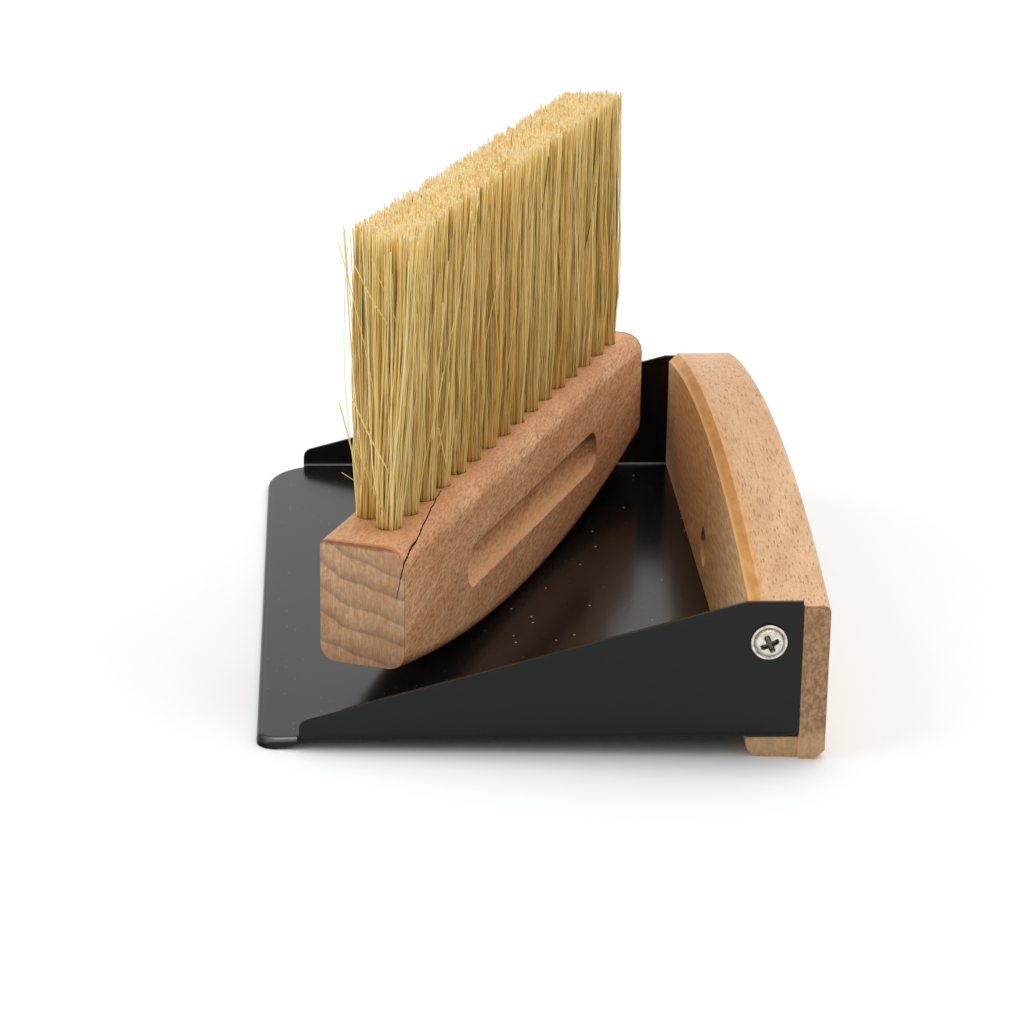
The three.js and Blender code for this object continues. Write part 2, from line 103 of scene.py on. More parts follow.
class Graph:
    """A material's node tree. Inputs are numbers, colours or sockets of other nodes.

    An input is named as its socket is, with _ for a space, or _0, _1 and so on for its place.
    """

    def __init__(self, name, **surface):
        self.material = bpy.data.materials.new(name)
        self.material.use_nodes = True
        self.tree = self.material.node_tree
        self.tree.nodes.clear()
        self.surface = self.node("ShaderNodeBsdfPrincipled", **surface)
        output = self.node("ShaderNodeOutputMaterial")
        self.tree.links.new(self.surface.outputs["BSDF"], output.inputs["Surface"])

    def node(self, kind, settings=(), **inputs):
        made = self.tree.nodes.new(kind)
        for key, value in dict(settings).items():
            setattr(made, key, value)
        self.feed(made, **inputs)
        return made

    def feed(self, node, **inputs):
        for key, value in inputs.items():
            name = key.replace("_", " ")
            socket = node.inputs[int(key[1:])] if key[1:].isdigit() else node.inputs[name]
            if isinstance(value, bpy.types.NodeSocket):
                self.tree.links.new(value, socket)
            elif socket.type == "RGBA":
                socket.default_value = (*value, 1)
            else:
                socket.default_value = value

    def place(self, frame_matrix):
        """Position in a frame of its own, in millimetres."""
        inward = frame_matrix.inverted()
        here = self.node("ShaderNodeTexCoord").outputs["Object"]
        turned = self.node("ShaderNodeMapping", Vector=here, Rotation=inward.to_euler(),
                           Scale=(1 / MM,) * 3, Location=inward.translation / MM)
        return turned.outputs["Vector"]

    def stretched(self, vector, stretch):
        """The vector divided by a stretch along each axis, so that what it feeds grows by it."""
        scale = tuple(1 / s for s in stretch)
        return self.node("ShaderNodeMapping", Vector=vector, Scale=scale).outputs["Vector"]

    def facing(self, frame_matrix):
        """The axes of the surface's normal in a frame of its own."""
        here = self.node("ShaderNodeTexCoord").outputs["Normal"]
        turn = frame_matrix.inverted().to_euler()
        settings = {"vector_type": "VECTOR"}
        turned = self.node("ShaderNodeMapping", settings, Vector=here, Rotation=turn)
        return self.split(turned.outputs["Vector"])

    def split(self, vector):
        return self.node("ShaderNodeSeparateXYZ", Vector=vector).outputs

    def join(self, x, y, z):
        return self.node("ShaderNodeCombineXYZ", X=x, Y=y, Z=z).outputs["Vector"]

    def vector_math(self, operation, *vectors):
        inputs = {f"_{i}": vector for i, vector in enumerate(vectors)}
        return self.node("ShaderNodeVectorMath", {"operation": operation}, **inputs).outputs

    def attribute(self, name):
        return self.node("ShaderNodeAttribute", {"attribute_name": name}).outputs["Fac"]

    def noise(self, vector, scale=1.0, detail=2.0, roughness=0.5):
        made = self.node("ShaderNodeTexNoise", Vector=vector, Scale=scale, Detail=detail,
                         Roughness=roughness)
        return made.outputs["Fac"]

    def spots(self, vector, radii, chosen, scale=1.0, dimensions="3D"):
        """Spots round scattered points: 0 outside the first radius and 1 inside the second.

        Each point has a random number, and its spot fades in between the two that are chosen.
        """
        settings = {"voronoi_dimensions": dimensions}
        made = self.node("ShaderNodeTexVoronoi", settings, Vector=vector, Scale=scale)
        pick = self.split(made.outputs["Color"])["X"]
        return self.times(self.smooth(made.outputs["Distance"], *radii), self.smooth(pick, *chosen))

    def math(self, operation, *values, clamp=False):
        settings = {"operation": operation, "use_clamp": clamp}
        inputs = {f"_{i}": value for i, value in enumerate(values)}
        return self.node("ShaderNodeMath", settings, **inputs).outputs["Value"]

    def times(self, a, b):
        return self.math("MULTIPLY", a, b)

    def add_times(self, value, factor, base):
        """The value times the factor, added to the base."""
        return self.math("MULTIPLY_ADD", value, factor, base)

    def smooth(self, value, low, high):
        """0 below low, 1 above high, and smooth between; reversed if high is below low."""
        settings = {"interpolation_type": "SMOOTHSTEP"}
        inputs = {"Value": value, "_1": min(low, high), "_2": max(low, high)}
        made = self.node("ShaderNodeMapRange", settings, **inputs)
        ends = (0, 1) if low < high else (1, 0)
        made.inputs["To Min"].default_value, made.inputs["To Max"].default_value = ends
        return made.outputs["Result"]

    def ramp(self, factor, *stops):
        made = self.node("ShaderNodeValToRGB", Fac=factor)
        elements = made.color_ramp.elements
        while len(elements) < len(stops):
            elements.new(0.5)
        for element, (position, colour) in zip(elements, stops):
            element.position = position
            element.color = (*colour, 1)
        return made.outputs["Color"]

    def mix(self, factor, a, b, blend="MIX"):
        made = self.node("ShaderNodeMix", {"data_type": "RGBA", "blend_type": blend})
        self.feed(made, _0=factor, _6=a, _7=b)
        return made.outputs[2]

    def tinted(self, colour, mask, depth, tint):
        """The colour, taken towards a tint by a depth where the mask is 1."""
        return self.mix(self.times(mask, depth), colour, tint)

    def bump(self, height, distance_mm, strength=1.0):
        made = self.node("ShaderNodeBump", Height=height, Strength=strength,
                         Distance=distance_mm * MM)
        self.feed(self.surface, Normal=made.outputs["Normal"])


def srgb(red, green, blue):
    """A colour given as it looks, 0 to 255, as the linear light that shaders take."""
    def linear(value):
        value /= 255
        return value / 12.92 if value <= 0.04045 else ((value + 0.055) / 1.055) ** 2.4
    return linear(red), linear(green), linear(blue)


# ---------------------------------------------------------------- lacquer

LACQUER_BLACKS = srgb(14, 14, 14), srgb(22, 21, 21)
DIRT = srgb(214, 204, 182)
LACQUER_IOR = 1.335
LACQUER_ROUGHNESS = 0.14
BEND_IOR_GAIN = 0.62  # bends shine more, with a softer highlight
BEND_ROUGHNESS_GAIN = 0.17
DIRT_ROUGHNESS_GAIN = 0.5
SPECULAR_LEVEL = 0.5
LIP_SPECULAR_LOSS = 0.42  # on what faces away from the handle, so that the lip's rim stays dark
ORANGE_PEEL_MM = 0.009
DIRT_HEIGHT = 4.0  # times the orange peel's
CRUMBS_PER_MM = 0.17
DUST_PER_MM = 0.4
DUST_DEPTH = 0.3
CRUMBS_FROM_MM = -104  # along the tray; the lip's side of this is clean
CRUMBS_FULL_MM = -64


def fallen_dirt(g, place):
    """Crumbs in the tray, and finer and fainter dust everywhere."""
    inward = g.smooth(g.split(place)["X"], CRUMBS_FROM_MM, CRUMBS_FULL_MM)
    crumbs = g.spots(place, (0.06, 0.03), (0.9, 0.93), CRUMBS_PER_MM, "2D")
    dust = g.spots(place, (0.09, 0.04), (0.9, 1.0), DUST_PER_MM, "2D")
    return g.math("MAXIMUM", g.times(crumbs, inward), g.times(dust, DUST_DEPTH))


def make_lacquer():
    """Satin black lacquer on steel: faint orange peel, polished bends, and dirt lying on it."""
    g = Graph("black_lacquer")
    place = g.place(TRAY)
    facing = g.facing(TRAY)
    lying = g.times(g.smooth(facing["Z"], 0.8, 0.95), fallen_dirt(g, place))
    sideways = g.math("ABSOLUTE", facing["Y"])
    bend = g.times(g.smooth(sideways, 0.2, 0.4), g.smooth(sideways, 0.93, 0.8))
    bend = g.times(bend, g.smooth(facing["Z"], 0.1, 0.3))
    outward = g.smooth(facing["X"], -0.2, -0.7)

    haze = g.noise(place, 0.25, 3, 0.6)
    colour = g.mix(lying, g.mix(haze, *LACQUER_BLACKS), DIRT)
    roughness = g.add_times(g.noise(place, 0.03, 4, 0.6), 0.08, LACQUER_ROUGHNESS)
    roughness = g.add_times(lying, DIRT_ROUGHNESS_GAIN, roughness)
    roughness = g.add_times(bend, BEND_ROUGHNESS_GAIN, roughness)
    g.feed(g.surface, Base_Color=colour, Roughness=roughness,
           IOR=g.add_times(bend, BEND_IOR_GAIN, LACQUER_IOR),
           Specular_IOR_Level=g.add_times(outward, -LIP_SPECULAR_LOSS, SPECULAR_LEVEL))
    peel = g.noise(place, 0.9, 2, 0.5)
    g.bump(g.add_times(lying, DIRT_HEIGHT, peel), ORANGE_PEEL_MM)
    return g.material


# ---------------------------------------------------------------- wood

WOOD_IOR = 1.45
WOOD_RELIEF_MM = 0.05
RING_WAVER_MM = 4.0
LATE_POWER = 2.6  # the higher it is, the narrower is a ring's late wood
STREAK_DEPTH = 0.14
LATE_DEPTH = 0.2
PORE_DEPTH = 0.35
END_DEPTH_MM = 30  # how far an end face's marks reach into the wood
END_LATE = srgb(104, 76, 58)
END_SPECK = srgb(88, 60, 42)
SCORCH = srgb(132, 62, 20)  # of the saw, at the edges of the end faces
SCORCH_DEPTH = 0.7
FRAME_ALONG_HANDLE = TRAY @ Matrix.Rotation(math.radians(90), 4, "Z")

HANDLE_FIGURE = {
    "pith_mm": (-58, -42),  # of the tree, across the grain
    "ring_mm": 5.2,
    "light": srgb(224, 186, 145),
    "dark": srgb(209, 166, 122),
    "brown": srgb(144, 88, 48),
    "fleck_mm": (9, 0.64),
    "pattern_mm": (3, 0.6, 0.6),
    "blotch_depth": 0.4,
    "fine_depth": 0.2,
    "fleck_depth": 0.75,
}
HANDLE_ENDS = {
    "half_mm": HANDLE_HALF_LENGTH_MM,
    "top_mm": HANDLE_END_HEIGHT_MM,
    "scorch_mm": 0.1,  # reach of the scorch
    "light": (0.76, 0.69, 0.6),  # factors on the plain colour
    "dark": (0.43, 0.37, 0.31),
    "streak_mm": (1.1, 1.7),
    "late_depth": 0.45,
    "speck_depth": 0.6,
}
BRUSH_FIGURE = {
    "pith_mm": (-22, 100),
    "ring_mm": 6.4,
    "light": srgb(247, 202, 157),
    "dark": srgb(222, 164, 118),
    "brown": srgb(138, 76, 44),
    "fleck_mm": (3.8, 1.1),
    "pattern_mm": (3.0, 0.8, 0.8),
    "blotch_depth": 0.7,
    "fine_depth": 0.5,
    "fleck_depth": 0.46,
}
BRUSH_ENDS = {
    "half_mm": BRUSH_HALF_LENGTH_MM,
    "top_mm": BRUSH_HEIGHT_MM,
    "scorch_mm": 0.9,
    "light": (0.78, 0.79, 0.79),
    "dark": (0.6, 0.6, 0.6),
    "streak_mm": (0.32, 3.2),
    "late_depth": 0.8,
    "speck_depth": 0.15,
}
BRUSH_GRAIN_RISE = math.radians(-14)  # the brush's grain climbs towards its far end


def late_wood(g, place, pith_mm, ring_mm):
    """The dark outer part of each year's ring, deeper in some years than in others."""
    axes = g.split(place)
    waver = g.noise(g.stretched(place, (60, 9, 9)), 1, 1.5, 0.4)
    off = [g.math("SUBTRACT", axes[axis], pith) for axis, pith in zip("YZ", pith_mm)]
    radius = g.vector_math("LENGTH", g.join(0, *off))["Value"]
    turns = g.math("DIVIDE", g.add_times(waver, RING_WAVER_MM, radius), ring_mm)
    phase = g.math("FRACT", turns)
    late = g.times(g.math("POWER", phase, LATE_POWER), g.smooth(phase, 1.0, 0.9))
    year = g.noise(g.join(g.math("FLOOR", turns), 0, 0), 3.7, 0)
    return g.math("MULTIPLY", late, g.add_times(year, 1.2, 0.2), clamp=True)


def wood_figure(g, grain, pith_mm, ring_mm, light, dark, brown, fleck_mm, pattern_mm,
                blotch_depth, fine_depth, fleck_depth):
    """Beech whose grain runs along the frame's X: rings, clouds, a fine pattern and flecks.

    The flecks have a length and a width, and the pattern a stretch along each axis. It returns the
    colour with and without these marks, their relief, and the late wood of the rings.
    """
    place = g.place(grain)
    late = late_wood(g, place, pith_mm, ring_mm)
    cloud = g.noise(g.stretched(place, (45, 14, 14)), 1, 4, 0.6)
    streak = g.noise(g.stretched(place, (22, 0.7, 0.7)), 1, 3, 0.65)
    pattern = g.stretched(place, pattern_mm)
    blotch = g.noise(pattern, 0.45, 2, 0.6)
    fine = g.noise(pattern, 1.3, 2, 0.7)
    length, width = fleck_mm
    fleck = g.spots(g.stretched(place, (length, width, width)), (0.42, 0.14), (0.1, 0.6))
    pore_mm = length / 2, width / 2.2, width / 2.2
    pore = g.spots(g.stretched(place, pore_mm), (0.32, 0.12), (0.3, 0.9))

    colour = g.mix(g.smooth(cloud, 0.3, 0.72), light, dark)
    colour = g.tinted(colour, g.smooth(blotch, 0.4, 0.65), blotch_depth, dark)
    plain = g.tinted(colour, g.smooth(streak, 0.45, 0.75), STREAK_DEPTH, brown)
    colour = g.tinted(plain, g.smooth(fine, 0.45, 0.62), fine_depth, brown)
    colour = g.tinted(colour, late, LATE_DEPTH, brown)
    colour = g.tinted(colour, pore, PORE_DEPTH, brown)
    colour = g.tinted(colour, fleck, fleck_depth, brown)
    relief = g.add_times(fleck, -0.8, g.add_times(fine, 0.7, streak))
    relief = g.add_times(pore, -0.4, relief)
    return {"colour": colour, "plain": plain, "relief": relief, "late": late}


def end_grain(g, grain, figure, half_mm, top_mm, scorch_mm, light, dark, streak_mm,
              late_depth, speck_depth):
    """The figure's colour, with end faces of their own tint, and scorched saw edges round them.

    The end faces lie at half a length from the frame's middle, and their top edge at a height.
    """
    facing = g.facing(grain)
    place = g.place(grain)
    axes = g.split(place)
    mottle = g.noise(g.stretched(place, (END_DEPTH_MM, *streak_mm)), 1, 3, 0.65)
    shade = g.mix(g.smooth(mottle, 0.36, 0.64), light, dark)
    cut = g.mix(1.0, figure["plain"], shade, "MULTIPLY")
    cut = g.tinted(cut, figure["late"], late_depth, END_LATE)
    speck = g.spots(g.stretched(place, (END_DEPTH_MM, 0.8, 0.8)), (0.3, 0.15), (0.6, 1.0))
    cut = g.tinted(cut, speck, speck_depth, END_SPECK)

    patchy = g.noise(place, 0.35, 3, 0.6)
    crown = g.add_times(patchy, 1.6, axes["Z"])
    crown = g.smooth(crown, top_mm + 0.1 - scorch_mm, top_mm + 1.2 - scorch_mm)
    cut = g.tinted(cut, crown, SCORCH_DEPTH, SCORCH)
    ragged = g.add_times(patchy, 1.2, g.math("ABSOLUTE", axes["X"]))
    ragged = g.add_times(g.smooth(facing["Z"], 0.3, 0.9), scorch_mm, ragged)
    edge = g.smooth(ragged, half_mm - 0.1, half_mm + 0.4)
    sides = g.tinted(figure["colour"], edge, SCORCH_DEPTH, SCORCH)
    ends = g.smooth(g.math("ABSOLUTE", facing["X"]), 0.8, 0.97)
    return g.mix(ends, sides, cut)


AMBERS = srgb(240, 186, 120), srgb(200, 136, 66)
AMBER_DEPTH = 0.85
# painted light on the handle's face over the tray, which lies in shade
INNER_PAINTED_LIGHT = srgb(255, 220, 172)
INNER_PAINTED_LIGHT_DEPTH = 0.9
STROKE = srgb(158, 96, 50)
STROKE_DEPTH = 0.5
# painted light on the lower wall of the magnet's bore
BORE_PAINTED_LIGHT = srgb(255, 208, 144)
# painted light on the handle's foot, which is shaded under the tray
FOOT_PAINTED_LIGHT = srgb(244, 204, 156)
FOOT_PAINTED_LIGHT_DEPTH = 0.4


def amber_chamfer(g, facing, colour):
    """An amber tint on the chamfer over the tray, deeper further back, with a ragged border."""
    back = g.split(g.place(TRAY))["X"]
    smudge = g.noise(g.stretched(g.place(FRAME_ALONG_HANDLE), (9, 2.5, 2.5)), 1, 4, 0.65)
    edge = g.smooth(g.add_times(smudge, -4, back), 3.0, 0.4)
    edge = g.times(edge, g.smooth(facing["Z"], 0.1, 0.3))
    deep = g.times(g.smooth(back, 0.1, 1.1), g.smooth(smudge, 0.1, 0.72))
    return g.tinted(colour, edge, AMBER_DEPTH, g.mix(deep, *AMBERS))


def inner_face(g, over_tray, colour):
    """The handle's face over the tray, made paler and warmer by painted light, with brown strokes
    along the grain.
    """
    inner = g.smooth(over_tray, 0.9, 0.99)
    colour = g.tinted(colour, inner, INNER_PAINTED_LIGHT_DEPTH, INNER_PAINTED_LIGHT)
    stroke = g.noise(g.stretched(g.place(FRAME_ALONG_HANDLE), (9, 0.8, 0.55)), 1, 2, 0.6)
    stroke = g.times(g.smooth(stroke, 0.42, 0.6), g.times(inner, STROKE_DEPTH))
    return g.mix(stroke, colour, STROKE)


def painted_bore_light(g, over_tray, colour):
    """Painted light on the lower wall of the bore before the handle's magnet, where light falls in.
    """
    low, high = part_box("handle_magnet")
    bore = TRAY.inverted() @ middle("handle_magnet") / MM
    axes = g.split(g.vector_math("SUBTRACT", g.place(TRAY), bore)["Vector"])
    off_axis = g.vector_math("LENGTH", g.join(0, axes["Y"], axes["Z"]))["Value"]
    radius = (high.z - low.z) / 2 / MM
    wall = g.smooth(off_axis, radius + 0.5, radius + 0.3)
    wall = g.times(wall, g.smooth(over_tray, 0.9, 0.5))
    wall = g.times(wall, g.smooth(axes["Z"], 0.5, -1))
    wall = g.times(wall, g.smooth(axes["X"], 4, 3))
    return g.mix(wall, colour, BORE_PAINTED_LIGHT)


def make_handle_wood():
    """Light oiled beech, amber on the chamfer over the tray, painted light on the face over the tray
    and in the magnet's bore, and paler underneath by painted light.
    """
    g = Graph("handle_beech", IOR=WOOD_IOR)
    figure = wood_figure(g, FRAME_ALONG_HANDLE, **HANDLE_FIGURE)
    colour = end_grain(g, FRAME_ALONG_HANDLE, figure, **HANDLE_ENDS)
    facing = g.facing(TRAY)
    over_tray = g.times(facing["X"], -1)
    colour = amber_chamfer(g, facing, colour)
    # painted light on the face over the tray
    colour = inner_face(g, over_tray, colour)
    # painted light in the magnet's bore
    colour = painted_bore_light(g, over_tray, colour)
    # painted light: paler below the tray's floor, against the shade there
    under = g.smooth(g.split(g.place(TRAY))["Z"], 3, -3)
    colour = g.tinted(colour, under, FOOT_PAINTED_LIGHT_DEPTH, FOOT_PAINTED_LIGHT)
    relief = figure["relief"]
    g.feed(g.surface, Base_Color=colour, Roughness=g.add_times(relief, 0.12, 0.5))
    g.bump(relief, WOOD_RELIEF_MM, 0.7)
    return g.material


CRACK_NORMAL = Vector((-0.163, 0.961, 0.222))  # plane of the drying crack, in the brush's frame
CRACK_OFFSET_MM = 16.35  # of that plane from the frame's start
CRACK_END_MM = -58  # along the brush
CRACK_FLOOR_MM = 33  # height at which it ends
CRACK_OPEN_MM = 46  # height from which it is at its widest
CRACK_HALF_WIDTHS_MM = (0.04, 0.12)
CRACK_BORDER_MM = 0.09
CRACK_COLOUR = srgb(24, 14, 9)
CRACK_HEIGHT = -6.0  # times the wood's relief
# painted shade and painted light on the walls of the finger grooves
GROOVE_PAINTED_SHADE = srgb(112, 68, 40)
GROOVE_PAINTED_SHADE_DEPTH = 0.75
GROOVE_PAINTED_LIGHT = srgb(255, 190, 120)
GROOVE_PAINTED_LIGHT_DEPTH = 0.3
UPPER_PAINTED_SHADE = srgb(192, 132, 86)  # painted shade on what faces up, such as the face with the tufts
UPPER_PAINTED_SHADE_DEPTH = 0.5


def groove_walls(g, place, rise, colour):
    """Painted shade on the upper wall of each finger groove, which faces down, and painted light on
    the lower one, which faces up.
    """
    off = g.math("ABSOLUTE", g.math("SUBTRACT", g.split(place)["Z"], BRUSH_HEIGHT_MM / 2))
    sunk = g.smooth(off, GROOVE_HEIGHT_MM / 2 + 0.2, GROOVE_HEIGHT_MM / 2 - 0.6)
    upper_wall_shade = g.times(sunk, g.smooth(rise, -0.1, -0.6))
    colour = g.tinted(colour, upper_wall_shade, GROOVE_PAINTED_SHADE_DEPTH, GROOVE_PAINTED_SHADE)
    lower_wall_light = g.times(sunk, g.smooth(rise, 0.1, 0.6))
    return g.tinted(colour, lower_wall_light, GROOVE_PAINTED_LIGHT_DEPTH, GROOVE_PAINTED_LIGHT)


def drying_crack(g, place):
    """1 inside a crack that starts at one end of the block and narrows downwards."""
    axes = g.split(place)
    off = g.vector_math("DOT_PRODUCT", place, CRACK_NORMAL)["Value"]
    wander = g.add_times(g.noise(place, 0.09, 2, 0.4), 2.2, -1.1 - CRACK_OFFSET_MM)
    wander = g.add_times(g.noise(place, 0.6, 2, 0.5), 0.7, wander)
    off = g.math("ABSOLUTE", g.math("ADD", off, wander))
    narrow, wide = CRACK_HALF_WIDTHS_MM
    width = g.add_times(g.smooth(axes["Z"], CRACK_FLOOR_MM, CRACK_OPEN_MM), wide - narrow, narrow)
    crack = g.smooth(g.math("SUBTRACT", off, width), CRACK_BORDER_MM, 0.0)
    crack = g.times(crack, g.smooth(axes["X"], CRACK_END_MM, CRACK_END_MM - 4))
    return g.times(crack, g.smooth(axes["Z"], CRACK_FLOOR_MM - 1, CRACK_FLOOR_MM + 2))


def make_brush_wood():
    """Pinker steamed beech, with painted shade on what faces up and on the upper walls of its finger
    grooves, painted light on their lower walls, and a drying crack.
    """
    g = Graph("brush_beech", IOR=WOOD_IOR)
    end = Vector((-BRUSH_HALF_LENGTH_MM, 0, BRUSH_HEIGHT_MM / 2)) * MM
    lean = Matrix.Rotation(BRUSH_GRAIN_RISE, 4, "Y")
    lean = Matrix.Translation(end) @ lean @ Matrix.Translation(-end)
    figure = wood_figure(g, BRUSH @ lean, **BRUSH_FIGURE)
    colour = end_grain(g, BRUSH, figure, **BRUSH_ENDS)
    rise = g.facing(BRUSH)["Z"]
    # painted shade on what faces up
    colour = g.tinted(colour, g.smooth(rise, 0.3, 0.9), UPPER_PAINTED_SHADE_DEPTH, UPPER_PAINTED_SHADE)
    place = g.place(BRUSH)
    # painted shade and painted light in the finger grooves
    colour = groove_walls(g, place, rise, colour)
    crack = drying_crack(g, place)
    colour = g.mix(crack, colour, CRACK_COLOUR)
    relief = figure["relief"]
    g.feed(g.surface, Base_Color=colour, Roughness=g.add_times(relief, 0.12, 0.52),
           Specular_IOR_Level=g.add_times(crack, -SPECULAR_LEVEL, SPECULAR_LEVEL))
    g.bump(g.add_times(crack, CRACK_HEIGHT, relief), WOOD_RELIEF_MM, 0.8)
    return g.material


# ---------------------------------------------------------------- fibre and metal

FIBRE_TONES = (  # by a fibre's tone, 0 to 1
    (0.0, srgb(84, 88, 36)),
    (0.03, srgb(212, 158, 70)),
    (0.2, srgb(238, 198, 108)),
    (0.5, srgb(248, 218, 140)),
    (0.8, srgb(252, 230, 160)),
    (1.0, srgb(254, 239, 188)),
)
TIP_TONES = (  # the same where it is cut
    (0.1, srgb(238, 186, 108)),
    (0.4, srgb(252, 224, 160)),
    (0.9, srgb(254, 241, 210)),
)
FIBRE_MOTTLE = srgb(216, 170, 82)
FIBRE_MOTTLE_DEPTH = 0.22
# painted shade towards a fibre's root, low in the tuft
FIBRE_ROOT_PAINTED_SHADE = srgb(220, 186, 104)
FIBRE_ROOT_PAINTED_SHADE_DEPTH = 0.15
TIP_FROM = 0.985  # share of a fibre's length at which its cut end begins
TIP_DEPTH = 0.9
NICKELS = srgb(232, 226, 214), srgb(190, 181, 166)
NICKEL_HOLLOW_DARK = srgb(46, 40, 34)
# painted shade: nickel darkened for a magnet that lies in shade
PAINTED_SHADE_NICKELS = srgb(70, 68, 65), srgb(48, 46, 44)
METAL_RELIEF_MM = 0.01


def make_fibre():
    """Plant fibre: each one has its own tone, is darker at its root by painted shade, and paler where
    it is cut.
    """
    g = Graph("plant_fibre", Roughness=0.6, Specular_IOR_Level=0.1)
    tone = g.attribute("tone")
    along = g.attribute("along")
    colour = g.ramp(tone, *FIBRE_TONES)
    mottle = g.noise(g.stretched(g.place(BRUSH), (0.6, 0.6, 9)), 1, 3, 0.6)
    mottle = g.smooth(mottle, 0.45, 0.75)
    root = g.smooth(along, 0.3, 0.0)
    tip = g.smooth(along, TIP_FROM, 1.0)
    colour = g.tinted(colour, mottle, FIBRE_MOTTLE_DEPTH, FIBRE_MOTTLE)
    # painted shade towards the root
    colour = g.tinted(colour, root, FIBRE_ROOT_PAINTED_SHADE_DEPTH, FIBRE_ROOT_PAINTED_SHADE)
    colour = g.tinted(colour, tip, TIP_DEPTH, g.ramp(tone, *TIP_TONES))
    g.feed(g.surface, Base_Color=colour)
    return g.material


def make_nickel():
    """Nickel plate with fine polishing marks, and darker in its hollows."""
    g = Graph("nickel_plate", Metallic=1.0)
    place = g.place(TRAY)
    marks = g.noise(g.stretched(place, (0.5, 3, 0.15)), 1, 3, 0.6)
    stain = g.smooth(g.noise(place, 0.9, 4, 0.6), 0.35, 0.7)
    colour = g.mix(g.attribute("hollow"), g.mix(stain, *NICKELS), NICKEL_HOLLOW_DARK)
    g.feed(g.surface, Base_Color=colour, Roughness=g.add_times(marks, 0.25, 0.14))
    g.bump(marks, METAL_RELIEF_MM, 0.6)
    return g.material


def make_magnet_plate():
    """Nickel on a magnet, darkened by painted shade."""
    g = Graph("magnet_plate", Metallic=1.0)
    haze = g.noise(g.place(TRAY), 0.8, 4, 0.6)
    colour = g.mix(haze, *PAINTED_SHADE_NICKELS)
    g.feed(g.surface, Base_Color=colour, Roughness=g.add_times(haze, 0.2, 0.3))
    g.bump(haze, METAL_RELIEF_MM, 0.5)
    return g.material


lacquer = make_lacquer()
handle_wood = make_handle_wood()
brush_wood = make_brush_wood()
fibre = make_fibre()
nickel = make_nickel()
magnet_plate = make_magnet_plate()


# ---------------------------------------------------------------- carried-over nodes

WELD_MM = 0.002
BEVEL_ABOVE = math.radians(40)
BEVEL_SEGMENTS = 3
SMOOTH_BELOW = math.radians(32)
FLAT_WEIGHT = 100  # of large faces over small ones in the shading
KEPT_NODES = {  # material, slot, and how far edges are eased, in mm
    "pan_sheet": (lacquer, "lacquered_steel", 0.22),
    "pan_handle": (handle_wood, "handle_beech", 0.35),
    "brush_block": (brush_wood, "brush_beech", 0.35),
    "handle_magnet": (magnet_plate, "magnet", 0.1),
    "brush_magnet": (magnet_plate, "magnet", 0.1),
}


def smoothing_group():
    """A geometry group that shades smoothly over all but the sharp edges of its input."""
    group = bpy.data.node_groups.new("smooth_by_angle", "GeometryNodeTree")
    group.interface.new_socket("Geometry", in_out="INPUT", socket_type="NodeSocketGeometry")
    group.interface.new_socket("Geometry", in_out="OUTPUT", socket_type="NodeSocketGeometry")
    new = group.nodes.new
    link = group.links.new
    start, end = new("NodeGroupInput"), new("NodeGroupOutput")
    bare = new("GeometryNodeRemoveAttribute")
    bare.inputs["Name"].default_value = "custom_normal"
    faces = new("GeometryNodeSetShadeSmooth")
    edges = new("GeometryNodeSetShadeSmooth")
    edges.domain = "EDGE"
    angle = new("GeometryNodeInputMeshEdgeAngle")
    soft = new("FunctionNodeCompare")
    soft.operation = "LESS_THAN"
    soft.inputs[1].default_value = SMOOTH_BELOW
    link(start.outputs[0], bare.inputs["Geometry"])
    link(bare.outputs["Geometry"], faces.inputs["Geometry"])
    link(faces.outputs["Geometry"], edges.inputs["Geometry"])
    link(angle.outputs["Unsigned Angle"], soft.inputs[0])
    link(soft.outputs["Result"], edges.inputs["Shade Smooth"])
    link(edges.outputs["Geometry"], end.inputs[0])
    return group


smooth_by_angle = smoothing_group()


def finish_node(name, material, slot, edge_mm):
    """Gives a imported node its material, eased edges and smooth shading."""
    node = nodes[name]
    node.data.materials.clear()
    node.data.materials.append(material)
    weld = node.modifiers.new("weld", "WELD")
    weld.merge_threshold = WELD_MM * MM
    bevel = node.modifiers.new("eased_edges", "BEVEL")
    bevel.width = edge_mm * MM
    bevel.segments = BEVEL_SEGMENTS
    bevel.limit_method = "ANGLE"
    bevel.angle_limit = BEVEL_ABOVE
    bevel.use_clamp_overlap = True
    node.modifiers.new("smooth", "NODES").node_group = smooth_by_angle
    flat = node.modifiers.new("flat_faces", "WEIGHTED_NORMAL")
    flat.keep_sharp = True
    flat.weight = FLAT_WEIGHT


for kept, finish in KEPT_NODES.items():
    finish_node(kept, *finish)


# ---------------------------------------------------------------- screws

SCREW_AROUND = 96  # points round the screw
DOME_FOOT_MM = 0.9  # above the washer's underside
DOME_RISE_MM = 1.6
DOME_SPAN_MM = 3.85
DOME_RINGS = np.linspace(0.05, 3.8, 40)
SCREW_PROFILE_MM = [  # radius and height of the rings, from the middle of the head to the point
    *[(r, DOME_FOOT_MM + DOME_RISE_MM * math.sqrt(max(0, 1 - (r / DOME_SPAN_MM) ** 2)))
      for r in DOME_RINGS],
    (3.88, 0.72), (4.0, 0.6), (4.12, 0.62), (4.25, 0.8), (4.45, 0.88), (4.7, 0.86), (4.9, 0.7),
    (5.0, 0.45), (5.0, 0.12), (4.9, 0.0), (2.1, 0.0), (2.1, -15.0), (0.1, -19.0),
]
SCREW_HOLLOW_MM = (3.9, 4.15)  # the dark ring between dome and washer
RING_DARKENING = 0.5
CROSS_DARKENING = 0.85
CROSS_HALF_SPAN_MM = 2.6
CROSS_HALF_WIDTH_MM = 0.6
CROSS_DEPTH_MM = 1.5
